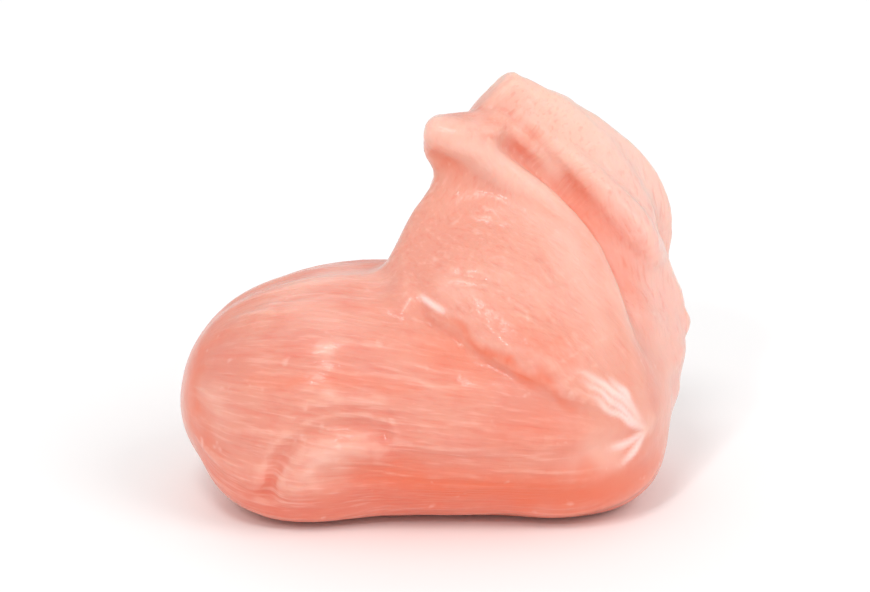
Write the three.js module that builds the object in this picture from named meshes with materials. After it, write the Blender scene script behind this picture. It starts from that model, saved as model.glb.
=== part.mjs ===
// A raw boneless chicken piece: one lump of breast muscle, folded once over itself.
// Millimetres, +X to the right, +Y to the back, +Z up, origin under the middle of the piece.
//
// The flesh is one closed surface where a distance field is zero. The field is built from
// rounded forms that flow into each other: a fat lobe that lies at the left, a flap folded
// up over it, a groove, and the upright layers behind the groove.
import * as THREE from "three";

const CELL = 1.12; // edge of the cells that the surface is drawn through
const REACH_LOW = new THREE.Vector3(-27, -19, -2); // the box that holds the whole piece
const REACH_HIGH = new THREE.Vector3(29, 20, 45);
const BASE_LEVEL = 1; // height at which the rounded forms settle flat under their own weight
const BASE_ROUNDING = 1.2; // how softly the sides turn under into the flat
const FLAT_BAND = 0.3; // what comes this near to the flat lies on it
const PROJECTION_STEPS = 3; // how often each corner is drawn onto the true surface
const RELAX_ROUNDS = 4; // how often the corners are evened out and drawn onto it again
const RELAX_SHARE = 0.5; // how far a corner goes towards the mean of its neighbours
const JUST_OUT = 0.02; // how far outside a corner lands when it changes sides
const SLOPE_STEP = 0.05; // half the distance over which the field's slope is measured
const FURTHEST_STEP = 0.4 * CELL; // how far a corner is moved at once
const FAR = 1e9;
const TINY = 1e-9; // keeps a division away from zero
const FLATTEST_SLOPE = 1e-3;

// Waviness that soft flesh has everywhere: along each axis, how long the two waves that
// move it are, and where they start.
const WAVE_HEIGHT = 0.35;
const WAVES = {
  x: { lengthY: 4.1, startY: 1.3, lengthZ: 5.3, startZ: 0.4 },
  y: { lengthZ: 4.7, startZ: 2.1, lengthX: 5.9, startX: 1.9 },
  z: { lengthX: 5.1, startX: 0.7, lengthY: 4.3, startY: 2.6 },
};

// Broad muscle bundles, which run along the lobe from left to right.
const BUNDLE_COUNT = 17; // round the lobe's long axis
const BUNDLE_HEIGHT = 0.16;
const BUNDLE_SWAY = 0.9; // how far they sway to the sides on their way
const BUNDLE_SWAY_LENGTH = 6;
const BUNDLE_FADE = { from: 2.5, to: 7.5 }; // distances from the axis over which they appear
const LOBE_AXIS = { y: -2, z: 11.5 };

// [centre, half sizes, turn in degrees about Y, about Z, softness of its join]
const LOBE = [
  [[-8.3, -2, 11.6], [16.1, 13.4, 12.2], -5, 0, 7],
  [[8, -2.5, 11.2], [14.7, 12.7, 11.2], 0, 0, 7],
  [[-13.1, -8.5, 6.7], [7.5, 5.5, 5.5], 0, 0, 3],
  [[13.2, -5, 6.2], [8.3, 7.8, 5.6], 0, 0, 3],
];
const CORE = [
  [[12.6, 5, 11.5], [10.3, 10.4, 12], 8, 0, 2.2],
  [[3.5, 6.5, 11], [8.5, 8.5, 11.8], -12, 0, 2.2],
  [[-6.5, 5.5, 10.5], [10.5, 8.5, 10.6], 0, -12, 2.2],
  [[15, 4, 17], [6.6, 6.5, 12.5], -8, 0, 3],
  [[8.6, 4, 22.5], [6.8, 4.2, 12], -28, 0, 3],
  [[7.4, 6.4, 23], [5.9, 5.3, 14], -14, 0, 2.2],
  [[3.4, 2.6, 24.8], [4.2, 3.8, 9.2], 8, 0, 2.2],
  [[13.4, 8.4, 19.5], [6.6, 4.8, 12.5], -22, 0, 2.2],
];
const LOBE_TO_CORE = 3; // softness of the join between the two

// The flap: a slab between its left edge and its ridge, from the top end down to the right.
const FLAP = {
  left: [[0.1, 1.3, 37], [-0.7, 1.4, 34.4], [0.3, 1.3, 31.6], [-2, 0.3, 27.8], [-3.8, -3, 24.4],
    [-0.5, -8.1, 22.8], [5.8, -12, 19.8], [12.1, -13.4, 16.7], [18.2, -9.6, 11.2]],
  right: [[4.8, 2.6, 36], [6.4, 2.1, 34.2], [8, 1.5, 32.7], [9.9, 0.7, 31.1], [12.1, 0, 29.4],
    [14.4, -1.3, 26.6], [16.4, -4.2, 22], [17.9, -7, 17.3], [20, -5.8, 10.2]],
  half: [1.4, 1.8, 2.3, 2.7, 3.2, 3.2, 2.6, 1.9, 1],
  samples: 4,
  fullness: 2.5,
  end: 0.6,
};
const RIM = {
  points: [[0.4, 0, 37], [3.4, -0.6, 35.4], [6.5, -0.6, 33.4], [9.4, -0.8, 31.1],
    [12, -1.4, 28.8], [14.4, -2.7, 26], [16.3, -4.9, 22.2], [17.5, -7.4, 17.6], [18.3, -9, 14],
    [19.4, -9.2, 10.6]],
  radius: [0.8, 1, 1.1, 1.1, 1.1, 1.1, 1.1, 1.1, 1, 0.8],
};
const RIM_TO_FLAP = 2;

// The swollen edge of the flap along its crease with the lobe.
const LIP = {
  points: [[-2, -6.6, 22.9], [-0.4, -8, 22.3], [2.8, -9.9, 20.8], [6.9, -12, 18.9],
    [10.3, -13, 17.2], [13.2, -13.3, 15.8], [16.2, -12.3, 14.2]],
  radius: [0.9, 1.2, 1.1, 1, 1, 0.9, 0.6],
};
const LIP_TO_FLAP = 1.6;

// The flat saddle on top, between the flap's upper corner and the tip behind it.
const SADDLE = { centre: [3.1, 1.3, 36.3], half: [3.4, 2.2, 1.2], fullness: 3.2 };
const SADDLE_TO_FLAP = 1.4;
const FLAP_CREASE = 1.3; // the join is sharp along the lip of the flap,
const FLAP_RIGHT_BLEND = { from: 9, to: 18, softness: 1.6 }; // dies out at the right
const FLAP_LEFT_BLEND = { from: 0, to: -3, softness: 3 }; // and on top of the lobe

// The layer behind the groove, with a swollen lip inside it, and the thin outer skin behind it.
// Their upper ends are cut off nearly flat.
const BACK_WALL = {
  left: [[7.8, 5.2, 40.8], [11.4, 5.8, 38.9], [14.9, 6, 35.7], [17.9, 6, 32.6], [20.1, 5.8, 29.1],
    [21.1, 5.2, 26.1], [21, 4.2, 23], [21.6, 2.8, 19.4], [22.4, 0.8, 14.7]],
  right: [[4.2, 3.4, 36.8], [7.6, 3.4, 33.9], [10.6, 3.1, 30.4], [13.2, 2.7, 27.3],
    [15.2, 2.2, 24.4], [16.7, 1.4, 21.5], [17.7, 0.6, 18.8], [18.6, -0.8, 15.8],
    [19.3, -2.8, 12.4]],
  half: [2, 2, 2, 2, 2, 2, 2, 2, 2],
  samples: 3,
  fullness: 2.8,
  end: 0.45,
};
const INNER_LIP = {
  points: [[8, 3, 37.2], [11.4, 2.6, 34.9], [14.6, 2.2, 32.2], [17.3, 2.1, 29.5],
    [19.6, 1.9, 26.8], [20.6, 1.9, 24.4]],
  radius: [0.9, 1.1, 1.3, 1.6, 1.7, 1.2],
};
const INNER_LIP_TO_BACK_WALL = 2;
const SKIN = {
  left: [[12.6, 7, 37.4], [16.3, 7.8, 35], [19.7, 8.4, 32.1], [22, 8.6, 28.7], [22.8, 8.2, 25.6],
    [22.2, 7, 22.4], [22.4, 5.4, 19.9]],
  right: [[10.1, 7.2, 32.6], [12.4, 8.4, 28.6], [15.3, 9, 24.4], [17.2, 8.6, 21],
    [18.4, 7.8, 18.2], [18.9, 6.4, 16.2], [19.3, 4.6, 14.3]],
  half: [1.5, 1.9, 2.1, 2.1, 2, 1.8, 1.6],
  samples: 3,
  fullness: 2,
  end: 1,
};
const BACK_WALL_TO_BODY = 3.2;
const SKIN_TO_BODY = 2.6;

// What fills the groove between flap and back wall up to its floor, and two small folds in it.
const GROOVE_FLOOR = {
  points: [[4.4, 2.6, 35.6], [7.6, 2.9, 33.3], [11, 2.8, 29.8], [14.2, 2, 26], [16.4, 0.6, 22.3],
    [18.2, -1.8, 18.2]],
  radius: [1.8, 1.7, 1.6, 1.6, 1.9, 2.6],
};
const SMALL_FOLDS = [
  { points: [[6, 2, 37.2], [8.6, 1.8, 35.4], [10.8, 2.4, 33.4]], radius: [0.8, 0.9, 0.6] },
  { points: [[8.8, 3, 35.8], [11.4, 2.8, 33], [13.4, 3.2, 30.6]], radius: [0.6, 0.8, 0.5] },
];
const FOLDS_TO_FLOOR = 2.4;
const GROOVE_TO_FLAP = 2.4;

// A muscle strip that runs down across the back, from the right to the left.
const STRIP = {
  points: [[17, 9.5, 25], [11.5, 12.3, 16.5], [2.5, 13, 10], [-7, 11, 6.5]],
  radius: [2.8, 4.2, 4.2, 3],
};
const STRIP_TO_BODY = 1.6;

// The loose edge of membrane at the right, with a small tag.
const MEMBRANE = {
  points: [[20.8, 4.4, 23.8], [21.6, 3.6, 21.2], [22.6, 2.8, 18.8], [21.9, 1.2, 15.6],
    [21, -1, 12]],
  radius: [1.2, 1.1, 1, 1.1, 1.6],
};
const MEMBRANE_TO_BODY = 2.2;
const TAG = [[23.3, 2.2, 17.2], [1, 0.7, 1.2], 0, 0, 0.8];

// Low on the lobe the flesh is pinched: a curved furrow, with a swelling under it.
const FURROW = {
  points: [[-15.6, -13.4, 5.2], [-14.4, -14.1, 8.7], [-12.4, -14.6, 11.1], [-9.5, -15, 12.4],
    [-6.2, -15.1, 12.6], [-3.6, -15.2, 11.5], [-2.2, -15.1, 9.8]],
  width: 1.2,
  depth: 0.7,
};
const SWELLING = {
  points: [[-13, -14, 6.7], [-11.6, -14.6, 9], [-8.6, -15, 10.5], [-5.4, -15, 10.3]],
  width: 1.7,
  depth: -0.45,
};

const CURVE_SAMPLES = 3; // steps between two points of a round strand
const LONG_CURVE_SAMPLES = 4; // the same, where the points lie far apart

// ---- Curves ----

function point(xyz) {
  return new THREE.Vector3(...xyz);
}

// A smooth curve through the points, as a list of points with several steps to each span.
function smoothPoints(points, samples) {
  const curve = new THREE.CatmullRomCurve3(points, false, "catmullrom", 0.5);
  return curve.getPoints(samples * (points.length - 1));
}

// Numbers along a curve, smoothed like its points.
function smoothNumbers(numbers, samples) {
  const points = numbers.map((n) => new THREE.Vector3(n, 0, 0));
  return smoothPoints(points, samples).map((p) => p.x);
}

// ---- Joining distances ----

function smoothMin(a, b, softness) {
  const h = Math.max(softness - Math.abs(a - b), 0) / softness;
  return Math.min(a, b) - (h * h * softness) / 4;
}

function smoothMax(a, b, softness) {
  return -smoothMin(-a, -b, softness);
}

// ---- Forms: each takes a description and returns a function of a point ----

function ellipsoid([centre, radii, turnY, turnZ]) {
  const middle = point(centre);
  const half = point(radii);
  const halfSquared = half.clone().multiply(half);
  const turn = new THREE.Euler(0, THREE.MathUtils.degToRad(turnY), THREE.MathUtils.degToRad(turnZ), "ZYX");
  const back = new THREE.Quaternion().setFromEuler(turn).invert();
  const local = new THREE.Vector3();
  const scaled = new THREE.Vector3();
  return (p) => {
    local.copy(p).sub(middle).applyQuaternion(back);
    const reach = scaled.copy(local).divide(half).length();
    const slope = scaled.copy(local).divide(halfSquared).length();
    return (reach * (reach - 1)) / Math.max(slope, TINY);
  };
}

function ellipsoids(list) {
  const forms = list.map(ellipsoid);
  return (p) => {
    let d = forms[0](p);
    for (let i = 1; i < forms.length; i++) d = smoothMin(d, forms[i](p), list[i][4]);
    return d;
  };
}

// A round strand along a curve. Without radii it is the distance from the curve itself.
function strand({ points, radius }, samples = CURVE_SAMPLES) {
  const line = smoothPoints(points.map(point), samples);
  const radii = smoothNumbers(radius || points.map(() => 0), samples);
  const step = new THREE.Vector3();
  const from = new THREE.Vector3();
  return (p) => {
    let nearest = FAR;
    for (let i = 0; i + 1 < line.length; i++) {
      step.copy(line[i + 1]).sub(line[i]);
      from.copy(p).sub(line[i]);
      const t = THREE.MathUtils.clamp(from.dot(step) / step.lengthSq(), 0, 1);
      const gap = from.addScaledVector(step, -t).length();
      nearest = Math.min(nearest, gap - THREE.MathUtils.lerp(radii[i], radii[i + 1], t));
    }
    return nearest;
  };
}

// Distance from a rounded section, with the point given across it, through it and past its end.
function sectionDistance(across, through, past, halfWidth, half, fullness) {
  const a = Math.abs(across) / halfWidth;
  const b = Math.abs(through) / half;
  const c = Math.abs(past) / half;
  const reach = (a ** fullness + b ** fullness + c ** fullness) ** (1 / fullness) + TINY;
  const slope =
    Math.hypot(a ** (fullness - 1) / halfWidth, b ** (fullness - 1) / half, c ** (fullness - 1) / half) *
    reach ** (1 - fullness);
  return (reach - 1) / Math.max(slope, 1 / Math.max(halfWidth, half));
}

// A rounded block, set square to the axes.
function block({ centre, half, fullness }) {
  const middle = point(centre);
  const [halfX, halfY, halfZ] = half;
  const from = new THREE.Vector3();
  return (p) => {
    from.copy(p).sub(middle);
    return sectionDistance(from.x, from.z, (from.y * halfZ) / halfY, halfX, halfZ, fullness);
  };
}

// A slab with rounded edges, lofted along two guide curves. Each station has its middle,
// the direction across it, the direction of travel, its half width and its half thickness.
// Beyond the first and last station it ends in a cap, end times as long as it is half thick.
function slab({ left, right, half, samples, fullness, end }) {
  const leftLine = smoothPoints(left.map(point), samples);
  const rightLine = smoothPoints(right.map(point), samples);
  const halves = smoothNumbers(half, samples);
  const middles = leftLine.map((p, i) => p.clone().lerp(rightLine[i], 0.5));
  const last = middles.length - 1;
  const stations = middles.map((middle, i) => {
    const across = leftLine[i].clone().sub(rightLine[i]);
    const halfWidth = across.length() / 2;
    across.normalize();
    const travel = middles[Math.min(i + 1, last)].clone().sub(middles[Math.max(i - 1, 0)]);
    travel.addScaledVector(across, -travel.dot(across)).normalize();
    return { middle, across, travel, halfWidth, half: halves[i] };
  });
  const from = new THREE.Vector3();
  const middle = new THREE.Vector3();
  const across = new THREE.Vector3();
  const travel = new THREE.Vector3();
  const normal = new THREE.Vector3();

  function beyond(p, s, past) {
    from.copy(p).sub(s.middle);
    normal.crossVectors(s.across, s.travel);
    return sectionDistance(from.dot(s.across), from.dot(normal), past / end, s.halfWidth, s.half, fullness);
  }
  return (p) => {
    const ahead = stations.map((s) => from.copy(p).sub(s.middle).dot(s.travel));
    let nearest = FAR;
    if (ahead[0] < 0) nearest = Math.min(nearest, beyond(p, stations[0], ahead[0]));
    if (ahead[last] >= 0) nearest = Math.min(nearest, beyond(p, stations[last], ahead[last]));
    for (let i = 0; i < last; i++) {
      if (ahead[i] < 0 || ahead[i + 1] >= 0) continue;
      const [a, b] = [stations[i], stations[i + 1]];
      const t = ahead[i] / (ahead[i] - ahead[i + 1]);
      middle.copy(a.middle).lerp(b.middle, t);
      across.copy(a.across).lerp(b.across, t).normalize();
      travel.copy(a.travel).lerp(b.travel, t).normalize();
      normal.crossVectors(across, travel);
      from.copy(p).sub(middle);
      const halfWidth = THREE.MathUtils.lerp(a.halfWidth, b.halfWidth, t);
      const halfHere = THREE.MathUtils.lerp(a.half, b.half, t);
      const d = sectionDistance(from.dot(across), from.dot(normal), 0, halfWidth, halfHere, fullness);
      nearest = Math.min(nearest, d);
    }
    return nearest;
  };
}

// A furrow or a swelling of the surface along a curve.
function relief({ points, width, depth }) {
  const distance = strand({ points });
  return (p) => depth * Math.exp(-((distance(p) / width) ** 2));
}

// ---- The whole piece ----

const lobe = ellipsoids(LOBE);
const core = ellipsoids(CORE);
const strip = strand(STRIP, LONG_CURVE_SAMPLES);
const skin = slab(SKIN);
const backWall = slab(BACK_WALL);
const membrane = strand(MEMBRANE);
const tag = ellipsoid(TAG);
const flap = slab(FLAP);
const rim = strand(RIM);
const lip = strand(LIP);
const saddle = block(SADDLE);
const innerLip = strand(INNER_LIP);
const grooveFloor = strand(GROOVE_FLOOR);
const smallFolds = SMALL_FOLDS.map((fold) => strand(fold));
const furrow = relief(FURROW);
const swelling = relief(SWELLING);

function easeIn(x, { from, to }) {
  const t = THREE.MathUtils.clamp((x - from) / (to - from), 0, 1);
  return t * t * (3 - 2 * t);
}

function waved({ x, y, z }) {
  const { x: alongX, y: alongY, z: alongZ } = WAVES;
  return new THREE.Vector3(
    x + WAVE_HEIGHT * Math.sin(y / alongX.lengthY + alongX.startY) * Math.cos(z / alongX.lengthZ + alongX.startZ),
    y + WAVE_HEIGHT * Math.sin(z / alongY.lengthZ + alongY.startZ) * Math.cos(x / alongY.lengthX + alongY.startX),
    z + WAVE_HEIGHT * Math.sin(x / alongZ.lengthX + alongZ.startX) * Math.cos(y / alongZ.lengthY + alongZ.startY),
  );
}

function bundles(p) {
  const [y, z] = [p.y - LOBE_AXIS.y, p.z - LOBE_AXIS.z];
  const sway = BUNDLE_SWAY * Math.sin(p.x / BUNDLE_SWAY_LENGTH);
  const height = BUNDLE_HEIGHT * easeIn(Math.hypot(y, z), BUNDLE_FADE);
  return height * Math.cos(BUNDLE_COUNT * Math.atan2(z, y) + sway);
}

function flesh(place) {
  const p = waved(place);
  const lobeHere = lobe(p) + bundles(p);
  const back = smoothMin(backWall(p), innerLip(p), INNER_LIP_TO_BACK_WALL);
  const edged = smoothMin(smoothMin(flap(p), rim(p), RIM_TO_FLAP), lip(p), LIP_TO_FLAP);
  const flapHere = smoothMin(edged, saddle(p), SADDLE_TO_FLAP);
  const folds = Math.min(...smallFolds.map((fold) => fold(p)));
  const groove = smoothMin(grooveFloor(p), folds, FOLDS_TO_FLOOR);

  let d = smoothMin(core(p), strip(p), STRIP_TO_BODY);
  d = smoothMin(lobeHere, d, LOBE_TO_CORE);
  d = smoothMin(d, skin(p), SKIN_TO_BODY);
  d = smoothMin(d, back, BACK_WALL_TO_BODY);
  d = smoothMin(d, membrane(p), MEMBRANE_TO_BODY);
  d = smoothMin(d, tag(p), TAG[4]);
  const crease =
    FLAP_CREASE +
    FLAP_RIGHT_BLEND.softness * easeIn(p.x, FLAP_RIGHT_BLEND) +
    FLAP_LEFT_BLEND.softness * easeIn(p.x, FLAP_LEFT_BLEND);
  d = smoothMin(d, smoothMin(flapHere, groove, GROOVE_TO_FLAP), crease);
  d += furrow(p) + swelling(p);
  return smoothMax(d, BASE_LEVEL - place.z, BASE_ROUNDING);
}

// ---- From the field to a closed mesh ----

function slopeOf(field, p) {
  const slope = new THREE.Vector3();
  const probe = new THREE.Vector3();
  for (let axis = 0; axis < 3; axis++) {
    probe.copy(p).setComponent(axis, p.getComponent(axis) + SLOPE_STEP);
    const ahead = field(probe);
    probe.copy(p).setComponent(axis, p.getComponent(axis) - SLOPE_STEP);
    slope.setComponent(axis, (ahead - field(probe)) / (2 * SLOPE_STEP));
  }
  return slope;
}

function drawOnto(field, p) {
  for (let i = 0; i < PROJECTION_STEPS; i++) {
    const slope = slopeOf(field, p);
    const move = field(p) / Math.max(slope.lengthSq(), FLATTEST_SLOPE);
    p.addScaledVector(slope, -THREE.MathUtils.clamp(move, -FURTHEST_STEP, FURTHEST_STEP));
  }
  return p;
}

// Where the four corners of a cell's face lie in and out by turns, two sheets of the surface
// would share an edge. The corner nearest to the surface then changes sides.
function untangle(value, stride) {
  const last = value.length - 1;
  let changed = true;
  while (changed) {
    changed = false;
    for (const [b, c] of [[stride[0], stride[1]], [stride[1], stride[2]], [stride[2], stride[0]]])
      for (let n = 0; n + b + c <= last; n++) {
        const face = [n, n + b, n + b + c, n + c];
        const [p, q, r, s] = face.map((node) => value[node] < 0);
        if (p !== r || q !== s || p === q) continue;
        const nearest = face.reduce((m, node) => (Math.abs(value[node]) < Math.abs(value[m]) ? node : m));
        value[nearest] = value[nearest] < 0 ? JUST_OUT : -JUST_OUT;
        changed = true;
      }
  }
}

// Moves each corner towards the mean of its neighbours, and back onto the surface.
function relax(field, positions, rings) {
  for (let round = 0; round < RELAX_ROUNDS; round++) {
    const sums = positions.map(() => new THREE.Vector3());
    const counts = new Float64Array(positions.length);
    for (const ring of rings)
      ring.forEach((corner, i) => {
        const neighbour = ring[(i + 1) % ring.length];
        sums[corner].add(positions[neighbour]);
        sums[neighbour].add(positions[corner]);
        counts[corner]++;
        counts[neighbour]++;
      });
    positions.forEach((p, n) => drawOnto(field, p.lerp(sums[n].divideScalar(counts[n]), RELAX_SHARE)));
  }
}

// One corner in each cell that the surface crosses, joined by two triangles round each
// grid edge that it crosses. The diagonal between them is the one that lies nearer to the surface.
function meshOf(field) {
  const size = REACH_HIGH.clone().sub(REACH_LOW).divideScalar(CELL).ceil();
  const count = [size.x + 1, size.y + 1, size.z + 1];
  const stride = [1, count[0], count[0] * count[1]];
  const place = (i, j, k) => new THREE.Vector3(i, j, k).multiplyScalar(CELL).add(REACH_LOW);
  const value = new Float64Array(count[0] * count[1] * count[2]);
  for (let k = 0, n = 0; k < count[2]; k++)
    for (let j = 0; j < count[1]; j++)
      for (let i = 0; i < count[0]; i++, n++) value[n] = field(place(i, j, k));
  untangle(value, stride);

  const corner = new Int32Array(value.length).fill(-1);
  const positions = [];
  for (let k = 0; k < count[2] - 1; k++)
    for (let j = 0; j < count[1] - 1; j++)
      for (let i = 0; i < count[0] - 1; i++) {
        const cell = i + j * stride[1] + k * stride[2];
        const sum = new THREE.Vector3();
        let crossings = 0;
        for (let axis = 0; axis < 3; axis++) {
          const [b, c] = [(axis + 1) % 3, (axis + 2) % 3];
          for (const [ob, oc] of [[0, 0], [1, 0], [0, 1], [1, 1]]) {
            const start = cell + ob * stride[b] + oc * stride[c];
            const [v0, v1] = [value[start], value[start + stride[axis]]];
            if (v0 < 0 === v1 < 0) continue;
            const at = [i, j, k];
            at[b] += ob;
            at[c] += oc;
            at[axis] += v0 / (v0 - v1);
            sum.add(place(...at));
            crossings++;
          }
        }
        if (!crossings) continue;
        corner[cell] = positions.length;
        positions.push(drawOnto(field, sum.divideScalar(crossings)));
      }

  const rings = [];
  for (let k = 1; k < count[2] - 1; k++)
    for (let j = 1; j < count[1] - 1; j++)
      for (let i = 1; i < count[0] - 1; i++) {
        const node = i + j * stride[1] + k * stride[2];
        for (let axis = 0; axis < 3; axis++) {
          const inside = value[node] < 0;
          if (inside === value[node + stride[axis]] < 0) continue;
          const [b, c] = [stride[(axis + 1) % 3], stride[(axis + 2) % 3]];
          const ring = [node - b - c, node - c, node, node - b].map((cell) => corner[cell]);
          rings.push(inside ? ring : ring.reverse());
        }
      }
  relax(field, positions, rings);

  const offSurface = (a, b) => Math.abs(field(positions[a].clone().lerp(positions[b], 0.5)));
  const index = rings.flatMap(([p, q, r, s]) =>
    offSurface(p, r) < offSurface(q, s) ? [p, q, r, p, r, s] : [q, r, s, q, s, p],
  );
  return { positions, index };
}

function pieceGeometry() {
  const { positions, index } = meshOf(flesh);
  for (const p of positions) if (p.z < BASE_LEVEL + FLAT_BAND) p.z = BASE_LEVEL;
  const geometry = new THREE.BufferGeometry().setFromPoints(positions).setIndex(index);
  geometry.computeBoundingBox();
  const middle = geometry.boundingBox.getCenter(new THREE.Vector3());
  geometry.translate(-middle.x, -middle.y, -geometry.boundingBox.min.z);
  geometry.computeVertexNormals();
  return geometry;
}

const rawFlesh = new THREE.MeshStandardMaterial({
  color: new THREE.Color("rgb(247, 172, 152)"),
  roughness: 0.32,
  metalness: 0,
});

const piece = new THREE.Mesh(pieceGeometry(), rawFlesh);
piece.name = "chicken_piece";

const group = new THREE.Group();
group.add(piece);

export default group;
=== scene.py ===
# A raw boneless chicken piece, dressed for rendering: one closed mesh of wet breast muscle with
# its fibre bundles, creases and white sinew, a procedural flesh material, a floor and soft light.
import itertools
import math

import bpy
import numpy as np
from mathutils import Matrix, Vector


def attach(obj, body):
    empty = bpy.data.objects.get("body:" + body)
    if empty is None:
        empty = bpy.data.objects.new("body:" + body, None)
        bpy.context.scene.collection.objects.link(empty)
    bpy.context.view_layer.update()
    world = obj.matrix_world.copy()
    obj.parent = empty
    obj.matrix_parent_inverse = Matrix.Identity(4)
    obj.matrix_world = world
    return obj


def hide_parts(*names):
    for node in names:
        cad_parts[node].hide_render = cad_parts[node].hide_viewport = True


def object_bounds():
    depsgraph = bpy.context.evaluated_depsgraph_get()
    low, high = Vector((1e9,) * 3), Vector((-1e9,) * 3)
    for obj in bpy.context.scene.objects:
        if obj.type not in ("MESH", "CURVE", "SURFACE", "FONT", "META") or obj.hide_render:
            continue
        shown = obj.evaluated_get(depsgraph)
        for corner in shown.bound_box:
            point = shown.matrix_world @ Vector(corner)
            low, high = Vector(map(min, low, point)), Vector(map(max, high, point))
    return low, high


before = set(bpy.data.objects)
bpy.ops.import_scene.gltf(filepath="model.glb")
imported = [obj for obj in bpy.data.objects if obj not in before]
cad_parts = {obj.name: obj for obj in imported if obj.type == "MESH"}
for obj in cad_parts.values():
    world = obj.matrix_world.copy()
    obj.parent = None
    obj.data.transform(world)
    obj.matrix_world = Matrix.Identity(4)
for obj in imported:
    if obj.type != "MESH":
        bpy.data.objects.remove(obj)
CAD_LOW, CAD_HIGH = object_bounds()

# ---------------------------------------------------------------- sizes, in millimetres
CELL = 0.3  # edge of the cells that the surface is drawn through
COARSE = 4  # the cells are looked for on a grid that is this many times as coarse
NEAR = 1.2  # coarse cells this near to the surface, in their own size, are looked at closely
REACH_LOW = np.array([-27.0, -19.0, -2.0])  # the box that holds the whole piece
REACH_HIGH = np.array([29.0, 20.0, 45.0])
BASE_LEVEL = 1.0  # height at which the flesh settles flat
BASE_ROUNDING = 1.2  # how softly the sides turn under into the flat
FLAT_BAND = 0.15  # what comes this near to the flat lies on it
SLOPE_STEP = 0.03  # half the distance over which the field's slope is measured
JUST_OUT = 0.005  # how far out a grid point is put when it changes sides
UNTANGLE_ROUNDS = 20
EVEN_ROUNDS, EVEN_SHARE = 2, 0.5  # how often, and how far, corners go to their neighbours' mean
FURTHEST_STEP = 0.4 * CELL  # how far a corner is drawn onto the surface at once
FLATTEST_SLOPE = 1e-3
FAR, OUTSIDE, TINY = 1e9, 1e3, 1e-9

# Waviness that soft flesh has everywhere: for each axis the two axes that the waves run along,
# and for each of these its length and start.
WAVE_HEIGHT = 0.35
WAVES = [(1, 4.1, 1.3, 2, 5.3, 0.4), (2, 4.7, 2.1, 0, 5.9, 1.9), (0, 5.1, 0.7, 1, 4.3, 2.6)]
BUNDLE_COUNT, BUNDLE_HEIGHT, BUNDLE_SWAY, BUNDLE_SWAY_LENGTH = 17, 0.11, 0.9, 6.0
BUNDLE_FADE = (5.0, 11.0)  # the bundles close up into smooth flesh this near to their axis
LOBE_AXIS = (-2.0, 11.5)  # y and z of the line that the bundles lie round

# (centre, half sizes, turn about Y, turn about Z, softness of the join)
LOBE = [
    ((-8.3, -2, 11.6), (16.1, 13.4, 12.2), -5, 0, 7),
    ((8, -2.5, 11.2), (14.7, 12.7, 11.2), 0, 0, 7),
    ((-13.1, -8.5, 6.7), (7.5, 5.5, 5.5), 0, 0, 3),
    ((13.2, -5, 6.2), (8.3, 7.8, 5.6), 0, 0, 3),
]
CORE = [
    ((12.6, 5, 11.5), (10.3, 10.4, 12), 8, 0, 2.2),
    ((3.5, 6.5, 11), (8.5, 8.5, 11.8), -12, 0, 2.2),
    ((-6.5, 5.5, 10.5), (10.5, 8.5, 10.6), 0, -12, 2.2),
    ((15, 4, 17), (6.6, 6.5, 12.5), -8, 0, 3),
    ((8.6, 4, 22.5), (6.8, 4.2, 12), -28, 0, 3),
    ((7.4, 6.4, 23), (5.9, 5.3, 14), -14, 0, 2.2),
    ((3.4, 2.6, 24.8), (4.2, 3.8, 9.2), 8, 0, 2.2),
    ((13.4, 8.4, 19.5), (6.6, 4.8, 12.5), -22, 0, 2.2),
]
LOBE_TO_CORE = 3.0

# Slabs: left edge, right edge, half thickness along the way, steps a span, fullness, and how long
# their rounded ends are in half thicknesses.
FLAP = (
    [(0.1, 1.3, 37), (-0.7, 1.4, 34.4), (0.3, 1.3, 31.6), (-2, 0.3, 27.8), (-3.8, -3, 24.4),
     (-0.5, -8.1, 22.8), (5.8, -12, 19.8), (12.1, -13.4, 16.7), (18.2, -9.6, 11.2)],
    [(4.8, 2.6, 36), (6.4, 2.1, 34.2), (8, 1.5, 32.7), (9.9, 0.7, 31.1), (12.1, 0, 29.4),
     (14.4, -1.3, 26.6), (16.4, -4.2, 22), (17.9, -7, 17.3), (20, -5.8, 10.2)],
    [1.4, 1.8, 2.3, 2.7, 3.2, 3.2, 2.6, 1.9, 1], 4, 2.5, 0.6,
)
BACK_WALL = (
    [(7.8, 5.2, 40.8), (11.4, 5.8, 38.9), (14.9, 6, 35.7), (17.9, 6, 32.6), (20.1, 5.8, 29.1),
     (21.1, 5.2, 26.1), (21, 4.2, 23), (21.6, 2.8, 19.4), (22.4, 0.8, 14.7)],
    [(4.2, 3.4, 36.8), (7.6, 3.4, 33.9), (10.6, 3.1, 30.4), (13.2, 2.7, 27.3), (15.2, 2.2, 24.4),
     (16.7, 1.4, 21.5), (17.7, 0.6, 18.8), (18.6, -0.8, 15.8), (19.3, -2.8, 12.4)],
    [2, 2, 2, 2, 2, 2, 2, 2, 2], 3, 2.8, 0.45,
)
SKIN = (
    [(12.6, 7, 37.4), (16.3, 7.8, 35), (19.7, 8.4, 32.1), (22, 8.6, 28.7),
     (22.8, 8.2, 25.6), (22.2, 7, 22.4), (22.4, 5.4, 19.9)],
    [(10.1, 7.2, 32.6), (12.4, 8.4, 28.6), (15.3, 9, 24.4), (17.2, 8.6, 21),
     (18.4, 7.8, 18.2), (18.9, 6.4, 16.2), (19.3, 4.6, 14.3)],
    [1.5, 1.9, 2.1, 2.1, 2, 1.8, 1.6], 3, 2.0, 1.0,
)
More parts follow.
